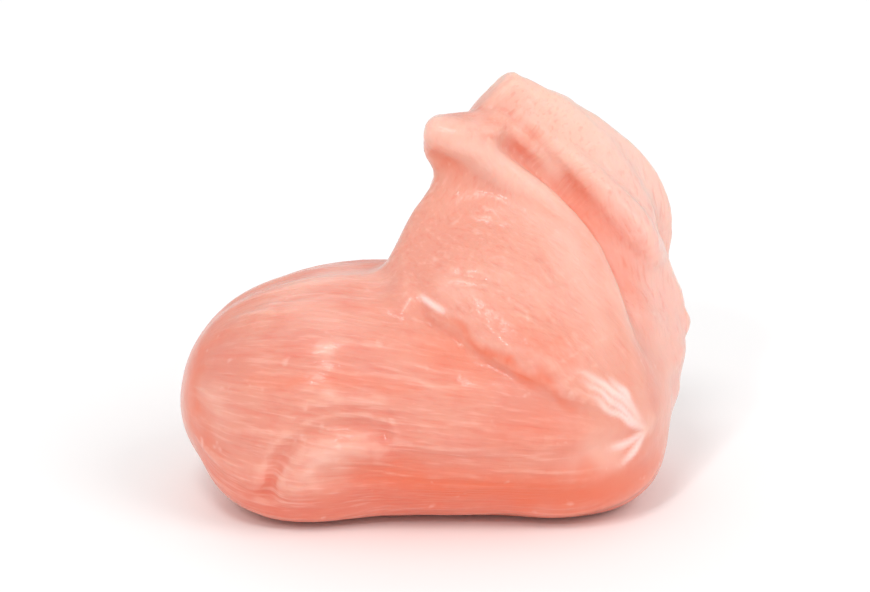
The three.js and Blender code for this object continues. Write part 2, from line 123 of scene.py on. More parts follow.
# Round strands: points, radii, steps a span.
RIM = (
    [(0.4, 0, 37), (3.4, -0.6, 35.4), (6.5, -0.6, 33.4), (9.4, -0.8, 31.1),
     (12, -1.4, 28.8), (14.4, -2.7, 26), (16.3, -4.9, 22.2), (17.5, -7.4, 17.6), (18.3, -9, 14),
     (19.4, -9.2, 10.6)],
    [0.8, 1.0, 1.1, 1.1, 1.1, 1.1, 1.1, 1.1, 1.0, 0.8], 3,
)
SADDLE = ((3.1, 1.3, 36.3), (3.4, 2.2, 1.2), 3.2)  # centre, half sizes, fullness
SADDLE_TO_FLAP = 1.4
LIP = (
    [(-2, -6.6, 22.9), (-0.4, -8, 22.3), (2.8, -9.9, 20.8), (6.9, -12, 18.9), (10.3, -13, 17.2),
     (13.2, -13.3, 15.8), (16.2, -12.3, 14.2)],
    [0.9, 1.2, 1.1, 1.0, 1.0, 0.9, 0.6], 3,
)
LIP_TO_FLAP = 1.6
INNER_LIP = (
    [(8, 3, 37.2), (11.4, 2.6, 34.9), (14.6, 2.2, 32.2), (17.3, 2.1, 29.5), (19.6, 1.9, 26.8),
     (20.6, 1.9, 24.4)],
    [0.9, 1.1, 1.3, 1.6, 1.7, 1.2], 3,
)
SMALL_FOLDS = [
    ([(6, 2, 37.2), (8.6, 1.8, 35.4), (10.8, 2.4, 33.4)], [0.8, 0.9, 0.6], 3),
    ([(8.8, 3, 35.8), (11.4, 2.8, 33), (13.4, 3.2, 30.6)], [0.6, 0.8, 0.5], 3),
]
GROOVE_FLOOR = (
    [(4.4, 2.6, 35.6), (7.6, 2.9, 33.3), (11, 2.8, 29.8), (14.2, 2, 26), (16.4, 0.6, 22.3),
     (18.2, -1.8, 18.2)],
    [1.8, 1.7, 1.6, 1.6, 1.9, 2.6], 3,
)
STRIP = (
    [(17, 9.5, 25), (11.5, 12.3, 16.5), (2.5, 13, 10), (-7, 11, 6.5)], [2.8, 4.2, 4.2, 3], 4,
)
MEMBRANE = (
    [(20.8, 4.4, 23.8), (21.6, 3.6, 21.2), (22.6, 2.8, 18.8), (21.9, 1.2, 15.6), (21, -1, 12)],
    [1.2, 1.1, 1.0, 1.1, 1.6], 3,
)
TAG = ((23.3, 2.2, 17.2), (1.0, 0.7, 1.2), 0, 0, 0.8)
STRIP_TO_BODY, SKIN_TO_BODY, BACK_WALL_TO_BODY, MEMBRANE_TO_BODY = 1.6, 2.6, 3.2, 2.2
RIM_TO_FLAP, GROOVE_TO_FLAP, LIP_TO_BACK, FOLD_TO_FLOOR = 2.2, 1.4, 1.1, 1.4
# The join between flap and lobe is sharp, and softens towards both ends: from, to, by how much.
FLAP_CREASE, FLAP_RIGHT_BLEND, FLAP_LEFT_BLEND = 0.5, (9, 18, 1.6), (0, -3, 3)
# A pinched furrow and the swelling under it: points, width, depth.
GROOVE_STEPS = 3
FURROW = (
    [(-15.6, -13.4, 5.2), (-14.4, -14.1, 8.7), (-12.4, -14.6, 11.1), (-9.5, -15, 12.4),
     (-6.8, -15.1, 12.7), (-4.6, -15.2, 12.2)], 0.9, 0.65,
)
SWELLING = (
    [(-13, -14, 6.7), (-11.6, -14.6, 9), (-8.6, -15, 10.5), (-5.4, -15, 10.3)], 1.5, -0.6,
)


# ---------------------------------------------------------------- curves and joins
def smooth_line(points, steps):
    """A smooth curve through the points, with several steps to each span."""
    p = np.asarray(points, float)
    p = p.reshape(len(p), -1)
    p = np.vstack([2 * p[0] - p[1], p, 2 * p[-1] - p[-2]])
    out = []
    for i in range(1, len(p) - 2):
        a, b, c, d = p[i - 1 : i + 3]
        for t in np.arange(steps) / steps:
            out.append(0.5 * (2 * b + (c - a) * t + (2 * a - 5 * b + 4 * c - d) * t**2
                              + (3 * b - a - 3 * c + d) * t**3))
    out.append(p[-2])
    return np.array(out)


def smooth_min(a, b, softness):
    """The nearer of two forms, with the join between them filled out."""
    h = np.maximum(softness - np.abs(a - b), 0) / softness
    return np.minimum(a, b) - h * h * softness / 4


def smooth_max(a, b, softness):
    return -smooth_min(-a, -b, softness)


def smooth_step(x, start, end):
    t = np.clip((x - start) / (end - start), 0, 1)
    return t * t * (3 - 2 * t)


def unit(v):
    return v / np.maximum(np.linalg.norm(v, axis=-1, keepdims=True), TINY)


# ---------------------------------------------------------------- forms, each a distance field
def ellipsoid(p, form):
    centre, half, turn_y, turn_z, _ = form
    b, c = math.radians(turn_y), math.radians(turn_z)
    about_y = np.array([[math.cos(b), 0, math.sin(b)], [0, 1, 0], [-math.sin(b), 0, math.cos(b)]])
    about_z = np.array([[math.cos(c), -math.sin(c), 0], [math.sin(c), math.cos(c), 0], [0, 0, 1]])
    local = (p - np.array(centre, float)) @ (about_z @ about_y)
    half = np.array(half, float)
    reach = np.linalg.norm(local / half, axis=1)
    slope = np.linalg.norm(local / half**2, axis=1)
    return reach * (reach - 1) / np.maximum(slope, TINY)


def ellipsoids(p, forms):
    d = ellipsoid(p, forms[0])
    for form in forms[1:]:
        d = smooth_min(d, ellipsoid(p, form), form[4])
    return d


def strand(p, form):
    """Distance from a round strand along a curve."""
    points, radius, steps = form
    line = smooth_line(points, steps)
    radii = smooth_line(radius, steps)[:, 0]
    nearest = np.full(len(p), FAR)
    for i in range(len(line) - 1):
        step = line[i + 1] - line[i]
        t = np.clip((p - line[i]) @ step / (step @ step), 0, 1)
        gap = np.linalg.norm(p - line[i] - t[:, None] * step, axis=1)
        nearest = np.minimum(nearest, gap - radii[i] * (1 - t) - radii[i + 1] * t)
    return nearest


def section(across, through, past, half_width, half, fullness):
    """Distance from a rounded section, given how far across, through and past its end a point is."""
    a, b, c = np.abs(across) / half_width, np.abs(through) / half, np.abs(past) / half
    reach = (a**fullness + b**fullness + c**fullness) ** (1 / fullness) + TINY
    q = fullness - 1
    slope = np.sqrt((a**q / half_width) ** 2 + (b**q / half) ** 2 + (c**q / half) ** 2) * reach**-q
    return (reach - 1) / np.maximum(slope, 1 / np.maximum(half_width, half))


def block(p, form):
    """Distance from a rounded block."""
    centre, half, fullness = form
    x, y, z = (p - np.array(centre, float)).T
    return section(x, z, y * half[2] / half[1], half[0], half[2], fullness)


def slab(p, form, want_place=False):
    """Distance from a slab lofted along two guide curves. Also, where wanted, how far along it and
    how far across it each point lies."""
    left, right, half, steps, fullness, end = form
    a, b = smooth_line(left, steps), smooth_line(right, steps)
    halves = smooth_line(half, steps)[:, 0]
    middle, across = (a + b) / 2, (a - b) / 2
    width = np.linalg.norm(across, axis=1)
    across = across / width[:, None]
    travel = np.gradient(middle, axis=0)
    travel = unit(travel - (travel * across).sum(1)[:, None] * across)
    run = np.concatenate([[0], np.cumsum(np.linalg.norm(np.diff(middle, axis=0), axis=1))])
    last = len(middle) - 1
    ahead = [(p - middle[k]) @ travel[k] for k in range(last + 1)]
    nearest, along, side = np.full(len(p), FAR), np.zeros(len(p)), np.zeros(len(p))

    def keep(s, d, way, off):
        m = d < nearest[s]
        at = np.flatnonzero(s)[m]
        nearest[at], along[at], side[at] = d[m], way[m], off[m]

    for k, s in ((0, ahead[0] < 0), (last, ahead[last] >= 0)):
        if s.any():
            r = p[s] - middle[k]
            normal = np.cross(across[k], travel[k])
            off = r @ across[k]
            past = ahead[k][s] / end
            d = section(off, r @ normal, past, width[k], halves[k], fullness)
            keep(s, d, run[k] + ahead[k][s], off)
    for k in range(last):
        s = (ahead[k] >= 0) & (ahead[k + 1] < 0)
        if not s.any():
            continue
        t = ahead[k][s] / (ahead[k][s] - ahead[k + 1][s])
        u = t[:, None]
        here = unit(across[k] * (1 - u) + across[k + 1] * u)
        on = unit(travel[k] * (1 - u) + travel[k + 1] * u)
        r = p[s] - (middle[k] * (1 - u) + middle[k + 1] * u)
        off = (r * here).sum(1)
        d = section(off, (r * np.cross(here, on)).sum(1), 0 * t, width[k] * (1 - t) + width[k + 1] * t,
                    halves[k] * (1 - t) + halves[k + 1] * t, fullness)
        keep(s, d, run[k] * (1 - t) + run[k + 1] * t, off)
    return (nearest, along, side) if want_place else nearest


def groove(p, form):
    """How deep the surface is pressed in, or with a negative depth raised, along a line."""
    points, width, depth = form
    return depth * np.exp(-((strand(p, (points, [0] * len(points), GROOVE_STEPS)) / width) ** 2))


# ---------------------------------------------------------------- the whole piece
def waved(p):
    moves = [np.sin(p[:, a] / length_a + start_a) * np.cos(p[:, b] / length_b + start_b)
             for a, length_a, start_a, b, length_b, start_b in WAVES]
    return p + WAVE_HEIGHT * np.stack(moves, 1)


def bundles(p):
    """Low ridges along the lobe."""
    y, z = p[:, 1] - LOBE_AXIS[0], p[:, 2] - LOBE_AXIS[1]
    sway = BUNDLE_SWAY * np.sin(p[:, 0] / BUNDLE_SWAY_LENGTH)
    height = BUNDLE_HEIGHT * smooth_step(np.hypot(y, z), *BUNDLE_FADE)
    return height * np.cos(BUNDLE_COUNT * np.arctan2(z, y) + sway)


def blend_in(x, rule):
    """How much softer the crease gets towards one end."""
    start, end, softness = rule
    return softness * smooth_step(x, start, end)


def parts_of(place):
    """The distance from each of the forms that the flesh is made of."""
    p = waved(place)
    return {
        "p": p,
        "lobe": ellipsoids(p, LOBE) + bundles(p),
        "core": ellipsoids(p, CORE),
        "strip": strand(p, STRIP),
        "skin": slab(p, SKIN),
        "back": smooth_min(slab(p, BACK_WALL), strand(p, INNER_LIP), LIP_TO_BACK),
        "membrane": strand(p, MEMBRANE),
        "flap": smooth_min(smooth_min(smooth_min(slab(p, FLAP), strand(p, RIM), RIM_TO_FLAP),
                                      strand(p, LIP), LIP_TO_FLAP),
                           block(p, SADDLE), SADDLE_TO_FLAP),
        "floor": smooth_min(strand(p, GROOVE_FLOOR), np.minimum(strand(p, SMALL_FOLDS[0]),
                            strand(p, SMALL_FOLDS[1])), FOLD_TO_FLOOR),
    }


def flesh(place):
    """The field of the whole piece: below 0 inside, 0 on its surface."""
    f = parts_of(place)
    p = f["p"]
    d = smooth_min(f["core"], f["strip"], STRIP_TO_BODY)
    d = smooth_min(f["lobe"], d, LOBE_TO_CORE)
    d = smooth_min(d, f["skin"], SKIN_TO_BODY)
    d = smooth_min(d, f["back"], BACK_WALL_TO_BODY)
    d = smooth_min(d, f["membrane"], MEMBRANE_TO_BODY)
    d = smooth_min(d, ellipsoid(p, TAG), TAG[4])
    fold = smooth_min(f["flap"], f["floor"], GROOVE_TO_FLAP)
    crease = FLAP_CREASE + blend_in(p[:, 0], FLAP_RIGHT_BLEND) + blend_in(p[:, 0], FLAP_LEFT_BLEND)
    d = smooth_min(d, fold, crease)
    d = d + groove(p, FURROW) + groove(p, SWELLING)
    return smooth_max(d, BASE_LEVEL - place[:, 2], BASE_ROUNDING)


def slope_of(field, p):
    """The direction and steepness in which the field grows."""
    out = np.empty_like(p)
    for axis in range(3):
        e = np.zeros(3)
        e[axis] = SLOPE_STEP
        out[:, axis] = (field(p + e) - field(p - e)) / (2 * SLOPE_STEP)
    return out


# ---------------------------------------------------------------- from the field to a closed mesh
def field_on_grid(field):
    """The field on the fine grid near the surface, and only its sign elsewhere."""
    wide = CELL * COARSE
    cells = np.ceil((REACH_HIGH - REACH_LOW) / wide).astype(int)
    axes = [REACH_LOW[i] + wide * np.arange(cells[i] + 1) for i in range(3)]
    grid = np.stack(np.meshgrid(*axes, indexing="ij"), -1)
    rough = field(grid.reshape(-1, 3)).reshape(cells + 1)
    low = np.full(cells, FAR)
    value = np.zeros(cells)
    for corner in itertools.product((0, 1), repeat=3):
        v = rough[tuple(slice(c, c + n) for c, n in zip(corner, cells))]
        low = np.minimum(low, np.abs(v))
        value += v / 8
    near = low < NEAR * wide
    fine = cells * COARSE
    out = np.empty(fine + 1)
    out[:-1, :-1, :-1] = np.repeat(np.repeat(np.repeat(value, COARSE, 0), COARSE, 1), COARSE, 2)
    out[-1], out[:, -1], out[:, :, -1] = OUTSIDE, OUTSIDE, OUTSIDE
    wanted = np.zeros(fine + 1, bool)
    span = np.arange(COARSE + 1)
    block = np.stack(np.meshgrid(span, span, span, indexing="ij"), -1).reshape(-1, 3)
    at = (np.argwhere(near)[:, None, :] * COARSE + block).reshape(-1, 3)
    wanted[tuple(at.T)] = True
    at = np.argwhere(wanted)
    out[wanted] = field(REACH_LOW + CELL * at)
    return out


FACE_CORNERS = ((0, 0), (1, 0), (1, 1), (0, 1))


def untangle(value):
    """Where the corners of a cell's face lie in and out by turns, two sheets would share an edge.
    The corner nearest to the surface then changes sides."""
    for _ in range(UNTANGLE_ROUNDS):
        inside = value < 0
        found = 0
        for a, b in ((0, 1), (1, 2), (2, 0)):
            def corner(array, i, j):
                pick = [slice(None)] * 3
                pick[a] = slice(i, array.shape[a] - 1 + i)
                pick[b] = slice(j, array.shape[b] - 1 + j)
                return array[tuple(pick)]

            four = [corner(inside, i, j) for i, j in FACE_CORNERS]
            bad = np.argwhere((four[0] == four[2]) & (four[1] == four[3]) & (four[0] != four[1]))
            for at in bad:
                ring = []
                for i, j in FACE_CORNERS:
                    q = at.copy()
                    q[a] += i
                    q[b] += j
                    ring.append(tuple(q))
                q = min(ring, key=lambda n: abs(value[n]))
                value[q] = JUST_OUT if value[q] < 0 else -JUST_OUT
                found += 1
        if not found:
            break


def closed_surface(field):
    """One corner in each cell that the surface crosses, and a quad round each grid edge that it
    crosses."""
    value = field_on_grid(field)
    untangle(value)
    size = np.array(value.shape)
    inside = value < 0
    count = np.zeros(size - 1, int)
    for corner in itertools.product((0, 1), repeat=3):
        count += inside[tuple(slice(c, c + n - 1) for c, n in zip(corner, size))]
    crossed = (count > 0) & (count < 8)
    number = np.full(size - 1, -1)
    number[crossed] = np.arange(crossed.sum())
    cell = np.argwhere(crossed)
    total, hits = np.zeros((len(cell), 3)), np.zeros(len(cell))
    for axis in range(3):
        b, c = (axis + 1) % 3, (axis + 2) % 3
        for ob, oc in ((0, 0), (0, 1), (1, 0), (1, 1)):
            start = cell.copy()
            start[:, b] += ob
            start[:, c] += oc
            end = start.copy()
            end[:, axis] += 1
            v0, v1 = value[tuple(start.T)], value[tuple(end.T)]
            m = (v0 < 0) != (v1 < 0)
            where = start.astype(float)
            where[:, axis] += np.where(m, v0 / np.where(m, v0 - v1, 1), 0)
            total[m] += where[m]
            hits[m] += 1
    corners = REACH_LOW + CELL * total / hits[:, None]
    quads = []
    for axis in range(3):
        b, c = (axis + 1) % 3, (axis + 2) % 3
        first, second = [slice(None)] * 3, [slice(None)] * 3
        first[axis], second[axis] = slice(0, -1), slice(1, None)
        edge = np.argwhere(inside[tuple(first)] != inside[tuple(second)])
        starts_in = inside[tuple(edge.T)]

        def beside(ob, oc):
            q = edge.copy()
            q[:, b] -= ob
            q[:, c] -= oc
            return number[tuple(q.T)]

        ring = np.stack([beside(1, 1), beside(0, 1), beside(0, 0), beside(1, 0)], 1)
        ring[~starts_in] = ring[~starts_in][:, ::-1]
        quads.append(ring)
    quads = np.concatenate(quads)
    for _ in range(EVEN_ROUNDS):
        corners = even_out(corners, quads)
        slope = slope_of(field, corners)
        move = field(corners) / np.maximum((slope**2).sum(1), FLATTEST_SLOPE)
        corners = corners - np.clip(move, -FURTHEST_STEP, FURTHEST_STEP)[:, None] * slope
    return corners, quads


def neighbour_mean(values, quads, count):
    """The mean over each corner's neighbours along the edges."""
    values = values.reshape(count, -1)
    total = np.zeros((count, values.shape[1]))
    hits = np.bincount(quads.ravel(), minlength=count) * 2
    for i in range(4):
        for j in (1, 3):
            other = values[quads[:, (i + j) % 4]]
            for c in range(values.shape[1]):
                total[:, c] += np.bincount(quads[:, i], weights=other[:, c], minlength=count)
    return total / np.maximum(hits, 1)[:, None]


def even_out(corners, quads):
    return (1 - EVEN_SHARE) * corners + EVEN_SHARE * neighbour_mean(corners, quads, len(corners))


# ---------------------------------------------------------------- noise
TABLE_SIZE, SEED = 64, 20
TABLE = np.random.RandomState(SEED).rand(TABLE_SIZE, TABLE_SIZE, TABLE_SIZE)
LAYER_SHIFT = np.array([7.3, 0, 7.3])  # between the layers of noise, so that they don't line up


def noise(p, around=None):
    """Smooth noise from -1 to 1 over a lattice of step 1. around: the second coordinate repeats
    after this many steps."""
    whole = np.floor(p).astype(int)
    t = p - whole
    t = t * t * t * (t * (t * 6 - 15) + 10)
    total = np.zeros(len(p))
    for corner in itertools.product((0, 1), repeat=3):
        a, b, c = (whole + corner).T
        b = b % (around or TABLE_SIZE)
        u, v, w = (t[:, axis] if side else 1 - t[:, axis] for axis, side in enumerate(corner))
        total += u * v * w * TABLE[a % TABLE_SIZE, b % TABLE_SIZE, c % TABLE_SIZE]
    return 2 * total - 1


def layered(p, layers=3, around=None):
    """Noise in layers, each half as coarse and half as strong as the one before."""
    total, weight, scale = np.zeros(len(p)), 0.0, 1
    for n in range(layers):
        share = 0.5**n
        total += share * noise(p * scale + n * LAYER_SHIFT, around and around * scale)
        weight += share
        scale *= 2
    return total / weight


# ---------------------------------------------------------------- build the mesh
corners, quads = closed_surface(flesh)
corners[:, 2] = np.where(corners[:, 2] < BASE_LEVEL + FLAT_BAND, BASE_LEVEL, corners[:, 2])
own_low, own_high = corners.min(0), corners.max(0)
normals = unit(slope_of(flesh, corners))
forms = parts_of(corners)

# Regions: their relief changes over quickly, and their colour slowly.
REGION_SOFTNESS, REGION_ROUNDS = 0.8, 6
TONE_SOFTNESS, TONE_ROUNDS = 1.6, 40
back_side = np.minimum(forms["back"], np.minimum(forms["skin"], forms["membrane"]))
body_side = np.minimum(forms["core"], forms["strip"])
nearness = np.stack([forms["lobe"], forms["flap"], back_side, body_side, forms["floor"]], 1)


def shares(softness, rounds):
    """How much each corner belongs to each region."""
    out = np.exp(-(nearness - nearness.min(1)[:, None]) / softness)
    out /= out.sum(1)[:, None]
    for _ in range(rounds):
        out = neighbour_mean(out, quads, len(corners))
    return out


on_lobe, on_flap, on_back, on_body, on_floor = shares(REGION_SOFTNESS, REGION_ROUNDS).T
tone = shares(TONE_SOFTNESS, TONE_ROUNDS)

# Fibres of the lobe run from pole to pole of a spindle, as its bundles do.
SPINDLE_LEFT, SPINDLE_RIGHT = np.array([-31.0, 1.5, 12.5]), np.array([24.0, -7.0, 8.5])
LOBE_TURNS = 120  # fibres round the spindle; bundles are four times as wide
OPEN_FROM, OPEN_TO = 6, 12.5  # the fibres fade out this near to the axis, where they would crowd
LOBE_DEPTH = 9  # how far in the fibres of the lobe change


def spindle(p):
    """How far along the spindle's axis, at which turn round it and how far from it points are."""
    axis = unit(SPINDLE_RIGHT - SPINDLE_LEFT)
    up = unit(np.cross(axis, [0, 1, 0]))
    side = np.cross(axis, up)
    r = p - SPINDLE_LEFT
    a, b = r @ side, r @ up
    return r @ axis, np.arctan2(b, a) / (2 * math.pi), np.hypot(a, b)


def lobe_noise(around, length, shift, layers):
    """Noise drawn out along the spindle, with so many strands round it."""
    place = np.stack([(along + shift) / length, (turn + drift) * around, radius / LOBE_DEPTH], 1)
    return layered(place, layers, around)


def lines(value):
    """Noise turned into rounded strands with narrow furrows between them."""
    return 1 - 1.5 * np.exp(-((value / 0.38) ** 2)) + 0.4 * value


along, turn, radius = spindle(corners)
drift = 0.012 * noise(corners / 7) + 0.004 * noise(corners / 2.6 + 9)
open_end = smooth_step(radius, OPEN_FROM, OPEN_TO)
lobe_fibre = open_end * (0.6 * lobe_noise(LOBE_TURNS, 9, 0, 1)
                         + 0.3 * lines(lobe_noise(LOBE_TURNS // 2, 13, 60, 1)))
lobe_bundle = open_end * lobe_noise(LOBE_TURNS // 4, 16, 40, 2)

# Those of the flap and of the layers behind run along them.
_, flap_along, flap_side = slab(forms["p"], FLAP, True)
_, back_along, back_side_way = slab(forms["p"], BACK_WALL, True)
wander = 0.7 * noise(corners / 5 + 3)
deep = corners[:, 1]
flap_fibre = layered(np.stack([flap_along / 8, (flap_side + wander) / 1.15, deep / 9], 1))
flap_bundle = layered(np.stack([flap_along / 14 + 5, (flap_side + wander) / 3.2, deep / 9], 1), 2)
back_fibre = layered(np.stack([back_along / 6 + 3, (back_side_way + wander) / 1.2, deep / 5], 1))

# Those of the body run down the back to the left, and straight down at the right.
BACK_GRAIN, SIDE_GRAIN = unit(np.array([-0.79, 0.05, -0.61])), unit(np.array([0.1, -0.25, -1.0]))


def grain_place(p, direction, length, width, shift=0.0):
    """Places in a grain that runs in a direction, in its own length and width."""
    a = unit(np.cross(direction, [0.0, 1.0, 0.0]))
    b = np.cross(direction, a)
    return np.stack([p @ direction / length + shift, (p @ a + wander) / width,
                     (p @ b + wander) / width], 1)


def grain(*place):
    return layered(grain_place(corners, *place))


to_right = smooth_step(corners[:, 0], 13, 19) * smooth_step(corners[:, 1], 12, 6)
body_fibre = grain(BACK_GRAIN, 8, 1.25) * (1 - to_right) + grain(SIDE_GRAIN, 7, 1.05) * to_right
body_bundle = (grain(BACK_GRAIN, 15, 3.4, 4) * (1 - to_right)
               + grain(SIDE_GRAIN, 14, 2.8, 4) * to_right)

fibre = (on_lobe * lobe_fibre + on_flap * 0.55 * flap_fibre + on_back * 0.6 * back_fibre
         + on_body * body_fibre + on_floor * 0.6 * back_fibre)
bundle = (on_lobe * lobe_bundle + on_flap * 0.7 * flap_bundle + on_body * body_bundle
          + (on_back + on_floor) * 0.4 * layered(corners / 2.6 + 11, 2))
lumps = layered(corners / 5.5 + 31, 2)
pits = layered(corners / 1.3 + 17, 2)

# Fine creases in the surface and white sinews on it: points of the line, width, and depth or
# height. They run out at both ends.
CREASES = [
    ([(-19.5, -9.5, 6), (-17.5, -12.3, 5), (-15.6, -13.6, 6)], 0.6, 0.1),
    ([(-14.2, -14, 12), (-11.4, -14.6, 13.9), (-8, -15, 14.6), (-4.6, -15, 14.2), (-2, -15, 12.8)],
     0.5, 0.2),
    ([(-14.4, -13.6, 14.6), (-10.8, -14.4, 16), (-6.6, -14.6, 16.4), (-2.4, -14.8, 15.8)], 0.45, 0.14),
    ([(-13.1, -14, 7.6), (-11.4, -14.8, 9.3), (-8.6, -15.2, 9.9), (-6, -15.2, 9.4)], 0.4, 0.1),
    ([(-20.5, -3.5, 19.5), (-17.1, -5.8, 21.6), (-12.3, -7.9, 23.1), (-7.6, -8.2, 23.4),
      (-2.8, -8.7, 22.9)], 0.45, 0.09),
    ([(-21.4, -5.9, 17.6), (-17.1, -9.3, 19.9), (-11.4, -11.4, 21), (-5.7, -12, 20.6),
      (0, -12.2, 19.4), (5.8, -13.1, 17.5)], 0.45, 0.12),
    ([(-19.8, -8.6, 15.8), (-16, -11.8, 17.6), (-10.4, -13.4, 18.8), (-3.8, -13.4, 18),
      (2.9, -14.2, 16.7), (10.5, -14.3, 14.9)], 0.45, 0.13),
    ([(0, -15, 14), (6, -15, 13.4), (12, -14.6, 12)], 0.45, 0.09),
    ([(-9, -15.3, 8), (-2.8, -15.2, 7.4), (4.8, -15.3, 7.4), (13.4, -14.2, 7.6)], 0.6, 0.08),
    ([(0.2, -7.8, 25), (2.4, -8.2, 25.4), (4.8, -8.6, 25.2), (7, -9.2, 24.4)], 0.42, 0.2),
    ([(0.6, -8.6, 24.4), (3.1, -9, 24.7), (5.6, -9.4, 24.4)], 0.42, 0.18),
    ([(3.9, -7.1, 26.5), (6.2, -7.3, 26.2), (8.2, -7.9, 25.4)], 0.42, 0.17),
    ([(6.4, -10, 23.4), (8.6, -10.6, 22.6), (10.8, -11, 21.4)], 0.42, 0.16),
    ([(2.6, -4.2, 29.6), (4.8, -4.4, 29.4), (7, -5, 28.6)], 0.5, 0.16),
    ([(8.4, -5.6, 27.4), (10.6, -6.4, 25.8), (12.4, -7.6, 23.8)], 0.5, 0.15),
    ([(10.4, -8.6, 22.8), (12.6, -9.8, 20.4), (14.4, -10.8, 18)], 0.4, 0.12),
]
SINEWS = [
    ([(13.6, -13.9, 17.8), (15.9, -13.3, 16.3), (18, -12.2, 14.3), (19.9, -10.5, 11.3)], 0.45, 0.18),
    ([(13.9, -13.9, 16.8), (16.3, -13.1, 14.9), (18.4, -11.9, 12.8), (20.1, -10.2, 10.7)], 0.36, 0.14),
    ([(14.5, -13.9, 15.4), (16.6, -13, 13.6), (18.5, -11.8, 12.2), (20.1, -10.1, 10.5)], 0.34, 0.14),
    ([(16.3, -12.9, 17), (17.8, -12.2, 15.2), (19.3, -11, 12.5)], 0.34, 0.12),
    ([(20.1, -10.1, 10.5), (18.9, -11.3, 9.3), (17.4, -12.4, 8.1)], 0.35, 0.1),
    ([(20.1, -10.1, 10.5), (18.2, -12, 10.2), (16.3, -13.2, 10)], 0.35, 0.08),
    ([(-1.4, -8.2, 23.3), (-0.2, -8.9, 22.9), (1.2, -9.8, 22.2)], 0.3, 0.1),
]
# Warm patches of painted shade, deeper orange where shadow and light through the flesh fall: in the
# valley, under the snout and the lip, low on the lobe and at its left edge; and pale ones, partly pale
# fat and sinew, partly painted highlights: points, half width, strength.
WARM_SHADE = [
    ([(7.7, 2, 36.1), (8.8, 2, 35.5), (10, 2, 34.7)], 1.3, 0.45),
    ([(11.1, 2, 32.5), (13.6, 2, 30), (16.1, 1, 27.3), (18.2, 0, 24.6), (19.7, -1, 21.9)], 2.2, 0.5),
    ([(0.6, 0, 34.6), (2, 0, 33.6), (3.5, -1, 33.2)], 1.1, 0.6),
    ([(0, -10, 22), (2.9, -12, 20.8), (5.8, -13, 19.3), (8.6, -14, 17.8), (11.5, -14, 15.8),
      (14.2, -14, 13.8)], 0.8, 1.0),
    ([(-7.7, -15, 6.4), (-5.7, -15, 7.4), (2, -15, 6.6), (8.6, -15, 6.2), (16.3, -13, 6),
      (20.6, -10, 7)], 3, 1.0),
    ([(-19, -8, 4.5), (-21.9, -4, 7.3), (-22.8, -3, 11), (-21.9, -4, 16.4), (-19.5, -5, 20.8)], 2, 0.7),
    ([(2, -15, 12), (8, -15, 12), (12.4, -14, 11.4), (16, -12, 10.6)], 2.4, 0.35),
    ([(15.3, 0, 27.7), (17.2, -1, 24.9), (18.6, -2, 22.3), (20.1, -3, 19)], 1.7, 0.5),
    ([(-2.6, -12, 20.6), (0, -13, 20), (2.9, -14, 18.5), (6.6, -14, 16.3)], 2.4, 0.5),
    ([(0.2, 0, 34.4), (1.3, 0, 35), (2.6, 0, 34.2)], 0.9, 0.5),
    ([(6.7, -11, 21.4), (10.5, -11, 19.8), (14.4, -10, 18.4)], 2, 0.35),
    ([(-18.1, -11, 16.7), (-13.3, -13, 16.8), (-7.6, -14, 17.2), (0, -14, 16.4)], 0.8, 0.5),
]
# Pale patches: pale fat and membrane, and painted highlights of wet spots, of the saddle's top and of
# the lobe's lit top edges.
PALE_AND_HIGHLIGHT = [
    ([(5.4, -1, 32), (7.6, -2, 30.7), (10.5, -3, 28.6), (12.9, -4, 25.5), (14.4, -7, 22.6),
      (15.8, -9, 18.8), (16.6, -11, 16)], 2.1, 0.55),
    ([(-15.7, -10, 21.1), (-12.4, -10, 22.1), (-9, -10, 21.1), (-7.6, -11, 19)], 2.2, 0.45),
    ([(0, -8, 24), (2, -8.5, 24.4), (4.4, -9, 24.2)], 1.1, 0.5),
    ([(9.4, 2, 34.9), (11.2, 2, 33.2), (13, 2, 31.4)], 1, 0.55),
    ([(12.6, -13, 10.8), (16, -12.5, 9.4), (18.6, -11, 8.6)], 2, 0.45),
    ([(-11.6, -12, 20.2), (-10, -12, 19.7), (-8.3, -12, 19.4)], 1, 0.7),
    ([(-10.8, -14, 15.6), (-9.7, -14, 15.6), (-8.4, -14, 15.6)], 0.8, 0.5),
    ([(0.2, 0, 37.4), (2.6, 0, 37.2), (5.2, 0, 36.6)], 1, 0.6),
    ([(7.9, 4, 40.5), (11, 4, 39.7), (14.4, 4, 37.2), (17.8, 4, 34.6), (20.8, 4, 31.2),
      (22.4, 4, 27.5)], 2.2, 0.7),
    ([(11.3, 2, 36.3), (14.2, 2, 34.3), (17.4, 2, 31.7), (20.3, 2, 28.8)], 1.4, 0.5),
    ([(-16, -8, 22.5), (-12.3, -6, 24), (-7.6, -5, 24.7), (-3.2, -6, 24)], 2.2, 0.5),
    ([(1.6, -8, 24.4), (6.7, -8, 25), (11.7, -7, 23), (15.1, -7, 19.5)], 2.2, 0.25),
    ([(-22.6, -5, 11.9), (-20.9, -8, 12.6), (-19.4, -10, 10.5)], 1.8, 0.35),
    ([(-12.8, -14, 6.2), (-11.4, -14.6, 8.6), (-8.9, -15, 10.2), (-6.2, -15, 10.6)], 1.1, 0.65),
    ([(22.4, 2, 23.2), (23.5, 1, 20.5), (24.6, 1, 17.6)], 0.9, 0.8),
    ([(-0.9, -8, 23), (1.6, -9, 22.3), (4.4, -10, 20.8), (8.6, -12, 19.1), (12.4, -13, 16.8)],
     0.6, 0.3),
    ([(21.2, 0, 20), (22.2, -3, 16.1), (22, -6, 11.1), (20.5, -8, 6.7)], 2.2, 0.35),
]
